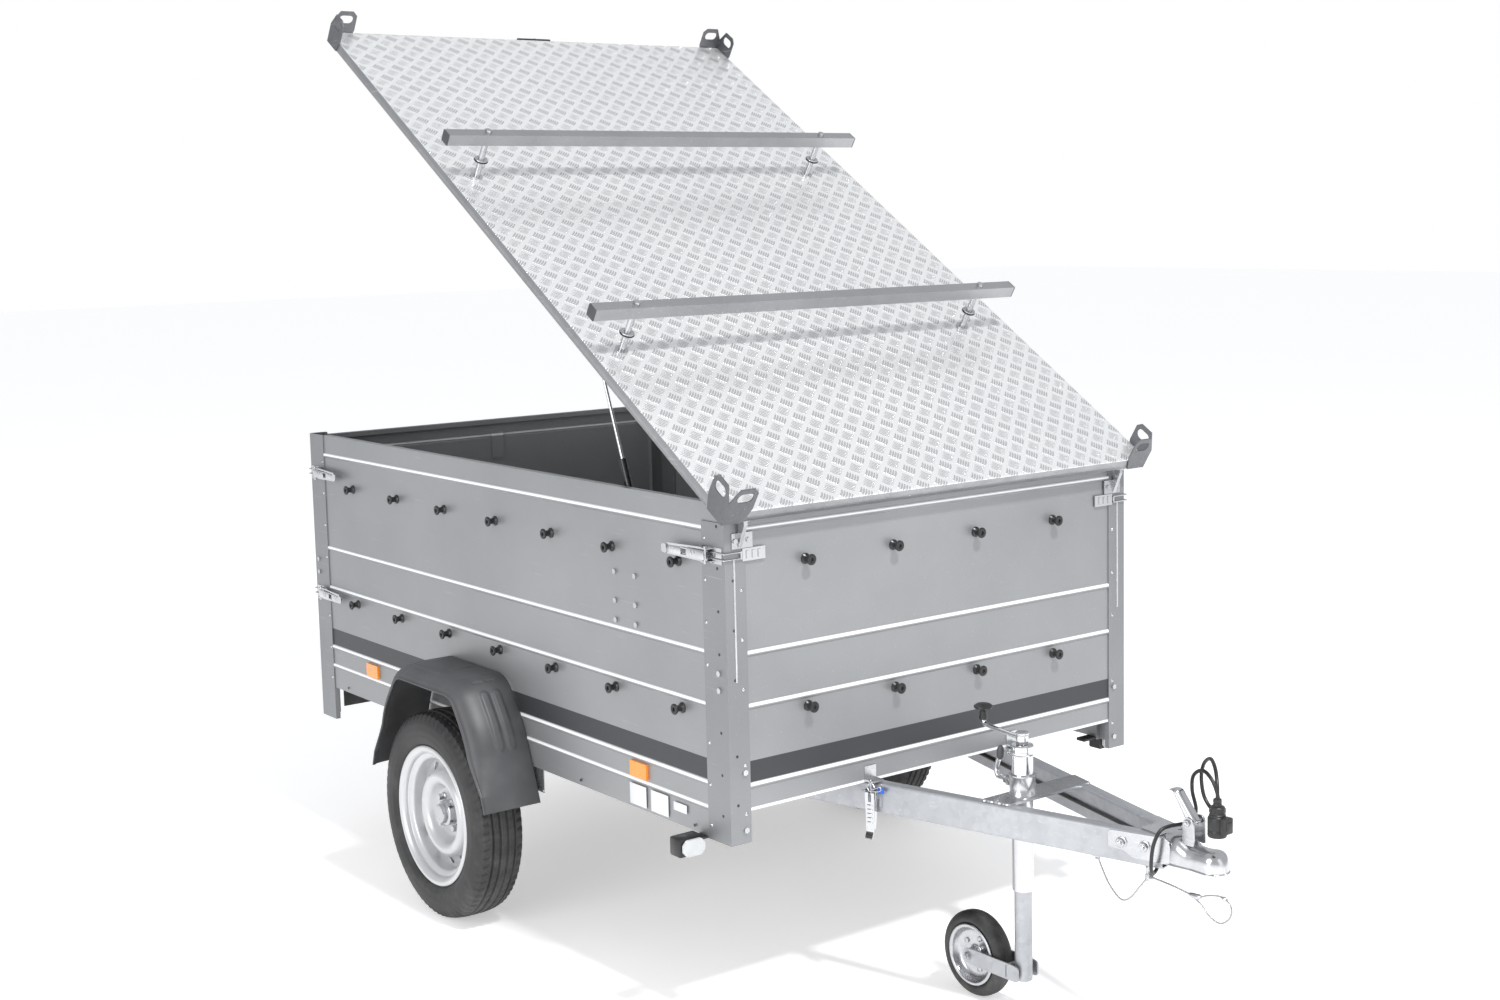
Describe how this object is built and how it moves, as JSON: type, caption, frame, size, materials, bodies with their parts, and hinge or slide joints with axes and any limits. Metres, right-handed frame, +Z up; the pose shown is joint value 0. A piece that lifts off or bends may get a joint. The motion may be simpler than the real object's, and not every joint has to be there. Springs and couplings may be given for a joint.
{
  "type": "box trailer",
  "caption": "Small single-axle trailer with a tipping sheet-steel box on a V drawbar, extension sides, tread-plate lid on gas struts, jockey wheel and ball coupler.",
  "frame": {"origin": "middle of the trailer's length and width on the ground", "axes": "+X towards the coupler, +Y to the trailer's left, +Z up"},
  "size_m": [3.0023, 1.57, 2.383],
  "materials": {
    "galvanised_arms": "galvanised, dull spangle",
    "sheet_steel": "grey coated sheet, satin",
    "black_steel": "black coated steel, satin",
    "zinc_steel": "bright zinc plate",
    "tread_aluminium": "five-bar tread sheet, mill finish",
    "tyre_rubber": "black tyre rubber",
    "black_plastic": "moulded black plastic, fine grain",
    "cable": "black flexible sheath",
    "lamp_red": "clear red lens",
    "lamp_clear": "clear lens on a white base",
    "reflector": "amber prismatic lens",
    "plywood": "brown film-faced plywood"
  },
  "bodies": {
    "chassis": {"drawbar_arms": "galvanised_arms", "cross_plate": "zinc_steel", "axle_beam": "black_steel", "stub_arms": "galvanised_arms", "coupler_body": "zinc_steel", "coupler_bolts": "zinc_steel", "wiring_harness": "cable", "electric_cord": "cable", "cord_plug": "black_plastic", "safety_rope": "zinc_steel", "rope_fittings": "zinc_steel", "tipping_brackets": "galvanised_arms"},
    "box": {"floor_board": "plywood", "floor_frame": "galvanised_arms", "side_panels_lower": "sheet_steel", "side_panels_upper": "sheet_steel", "front_panels": "sheet_steel", "corner_posts": "sheet_steel", "rope_knobs": "black_plastic", "side_reflectors": "reflector", "mudguards": "black_plastic", "box_brackets": "zinc_steel", "rear_beam": "black_steel", "tail_lamps": "lamp_red", "marker_lamps": "lamp_clear", "latch_plates": "zinc_steel", "panel_bolts": "zinc_steel"},
    "tailgate_lower": {"tailgate_lower": "sheet_steel"},
    "tailgate_upper": {"tailgate_upper": "sheet_steel"},
    "lid": {"lid_sheet": "tread_aluminium", "lid_frame": "tread_aluminium", "lid_corner_brackets": "zinc_steel", "lid_hinge_leaves": "zinc_steel", "roof_bars": "tread_aluminium", "bar_posts": "zinc_steel", "bar_rubbers": "black_plastic"},
    "lid_lock": {"lid_lock_handle": "black_steel"},
    "strut_cylinders": {"strut_cylinders": "black_steel"},
    "strut_rods": {"strut_rods": "black_steel"},
    "wheel_right": {"tyre_right": "tyre_rubber", "rim_right": "zinc_steel", "hub_right": "zinc_steel"},
    "wheel_left": {"tyre_left": "tyre_rubber", "rim_left": "zinc_steel", "hub_left": "zinc_steel"},
    "jockey_tube": {"jockey_outer_tube": "zinc_steel"},
    "jockey_leg": {"jockey_leg": "zinc_steel"},
    "jockey_wheel": {"jockey_tyre": "tyre_rubber", "jockey_rim": "zinc_steel"},
    "jockey_crank": {"jockey_crank": "zinc_steel"},
    "jockey_clamp": {"jockey_clamp_lever": "zinc_steel"},
    "coupler_handle": {"coupler_handle": "zinc_steel"},
    "tip_lever_right": {"tip_lever_right": "zinc_steel"},
    "tip_lever_left": {"tip_lever_left": "zinc_steel"},
    "latch_front_right": {"latch_front_right": "zinc_steel"},
    "latch_front_left": {"latch_front_left": "zinc_steel"},
    "latch_rear_right_upper": {"latch_rear_right_upper": "zinc_steel"},
    "latch_rear_left_upper": {"latch_rear_left_upper": "zinc_steel"},
    "latch_rear_right_lower": {"latch_rear_right_lower": "zinc_steel"},
    "latch_rear_left_lower": {"latch_rear_left_lower": "zinc_steel"}
  },
  "joints": [
    {"name": "box_tip", "type": "hinge", "parent": "chassis", "child": "box", "pos_m": [-0.5135, 0, 0.392], "axis": [0, -1, 0], "range_deg": [0, 13]},
    {"name": "tailgate_lower_fold", "type": "hinge", "parent": "box", "child": "tailgate_lower", "pos_m": [-1.4495, 0, 0.515], "axis": [0, -1, 0], "range_deg": [0, 160]},
    {"name": "tailgate_upper_fold", "type": "hinge", "parent": "box", "child": "tailgate_upper", "pos_m": [-1.4495, 0, 0.81], "axis": [0, -1, 0], "range_deg": [0, 95]},
    {"name": "lid_fold", "type": "hinge", "parent": "box", "child": "lid", "pos_m": [0.6415, 0, 1.16], "axis": [0, 1, 0], "range_deg": [-32.6, 0]},
    {"name": "lid_lock_turn", "type": "hinge", "parent": "lid", "child": "lid_lock", "pos_m": [-1.13885, 0, 2.3203], "axis": [0.8425, 0, -0.5388], "range_deg": [0, 90]},
    {"name": "strut_swing", "type": "hinge", "parent": "box", "child": "strut_cylinders", "pos_m": [0.2715, 0, 0.93], "axis": [0, 1, 0], "range_deg": [-36.1, 0]},
    {"name": "strut_stroke", "type": "slide", "parent": "strut_cylinders", "child": "strut_rods", "axis": [-0.3532, 0, 0.9355], "range_m": [-0.2431, 0]},
    {"name": "wheel_right_spin", "type": "hinge", "parent": "chassis", "child": "wheel_right", "pos_m": [-0.5135, -0.704, 0.272], "axis": [0, 1, 0], "continuous": true},
    {"name": "wheel_left_spin", "type": "hinge", "parent": "chassis", "child": "wheel_left", "pos_m": [-0.5135, 0.704, 0.272], "axis": [0, 1, 0], "continuous": true},
    {"name": "jockey_tube_height", "type": "slide", "parent": "chassis", "child": "jockey_tube", "axis": [0, 0, 1], "range_m": [0, 0.2]},
    {"name": "jockey_screw", "type": "slide", "parent": "jockey_tube", "child": "jockey_leg", "axis": [0, 0, 1], "range_m": [-0.05, 0.12]},
    {"name": "jockey_crank_turn", "type": "hinge", "parent": "jockey_tube", "child": "jockey_crank", "pos_m": [0.9395, -0.05, 0.5], "axis": [0, 0, 1], "range_deg": [-3600, 8640]},
    {"name": "jockey_wheel_spin", "type": "hinge", "parent": "jockey_leg", "child": "jockey_wheel", "pos_m": [0.7895, -0.05, 0.1], "axis": [0, 1, 0], "continuous": true},
    {"name": "jockey_clamp_turn", "type": "hinge", "parent": "chassis", "child": "jockey_clamp", "pos_m": [0.8815, -0.05, 0.534], "axis": [1, 0, 0], "range_deg": [-100, 100]},
    {"name": "coupler_handle_lift", "type": "hinge", "parent": "chassis", "child": "coupler_handle", "pos_m": [1.3915, 0, 0.543], "axis": [0, 1, 0], "range_deg": [-35, 0]},
    {"name": "tip_lever_right_swing", "type": "hinge", "parent": "chassis", "child": "tip_lever_right", "pos_m": [0.63882, -0.23936, 0.481], "axis": [-0.9668, -0.2554, 0], "range_deg": [0, 150]},
    {"name": "tip_lever_left_swing", "type": "hinge", "parent": "chassis", "child": "tip_lever_left", "pos_m": [0.63882, 0.23936, 0.481], "axis": [0.9668, -0.2554, 0], "range_deg": [0, 150]},
    {"name": "latch_front_right_swing", "type": "hinge", "parent": "box", "child": "latch_front_right", "pos_m": [0.5675, -0.638, 1.078], "axis": [0, 0, 1], "range_deg": [0, 110]},
    {"name": "latch_front_left_swing", "type": "hinge", "parent": "box", "child": "latch_front_left", "pos_m": [0.5675, 0.638, 1.078], "axis": [0, 0, -1], "range_deg": [0, 110]},
    {"name": "latch_rear_right_upper_swing", "type": "hinge", "parent": "box", "child": "latch_rear_right_upper", "pos_m": [-1.4045, -0.638, 1.078], "axis": [0, 0, -1], "range_deg": [0, 110]},
    {"name": "latch_rear_left_upper_swing", "type": "hinge", "parent": "box", "child": "latch_rear_left_upper", "pos_m": [-1.4045, 0.638, 1.078], "axis": [0, 0, 1], "range_deg": [0, 110]},
    {"name": "latch_rear_right_lower_swing", "type": "hinge", "parent": "box", "child": "latch_rear_right_lower", "pos_m": [-1.4045, -0.638, 0.72], "axis": [0, 0, -1], "range_deg": [0, 110]},
    {"name": "latch_rear_left_lower_swing", "type": "hinge", "parent": "box", "child": "latch_rear_left_lower", "pos_m": [-1.4045, 0.638, 0.72], "axis": [0, 0, 1], "range_deg": [0, 110]}
  ],
  "couplings": [
    {"joint": "strut_swing", "follows": "lid_fold", "ratio": 1.1048},
    {"joint": "strut_stroke", "follows": "lid_fold", "m_per_rad": 0.42695},
    {"joint": "jockey_screw", "follows": "jockey_crank_turn", "m_per_rad": 0.00079577}
  ]
}
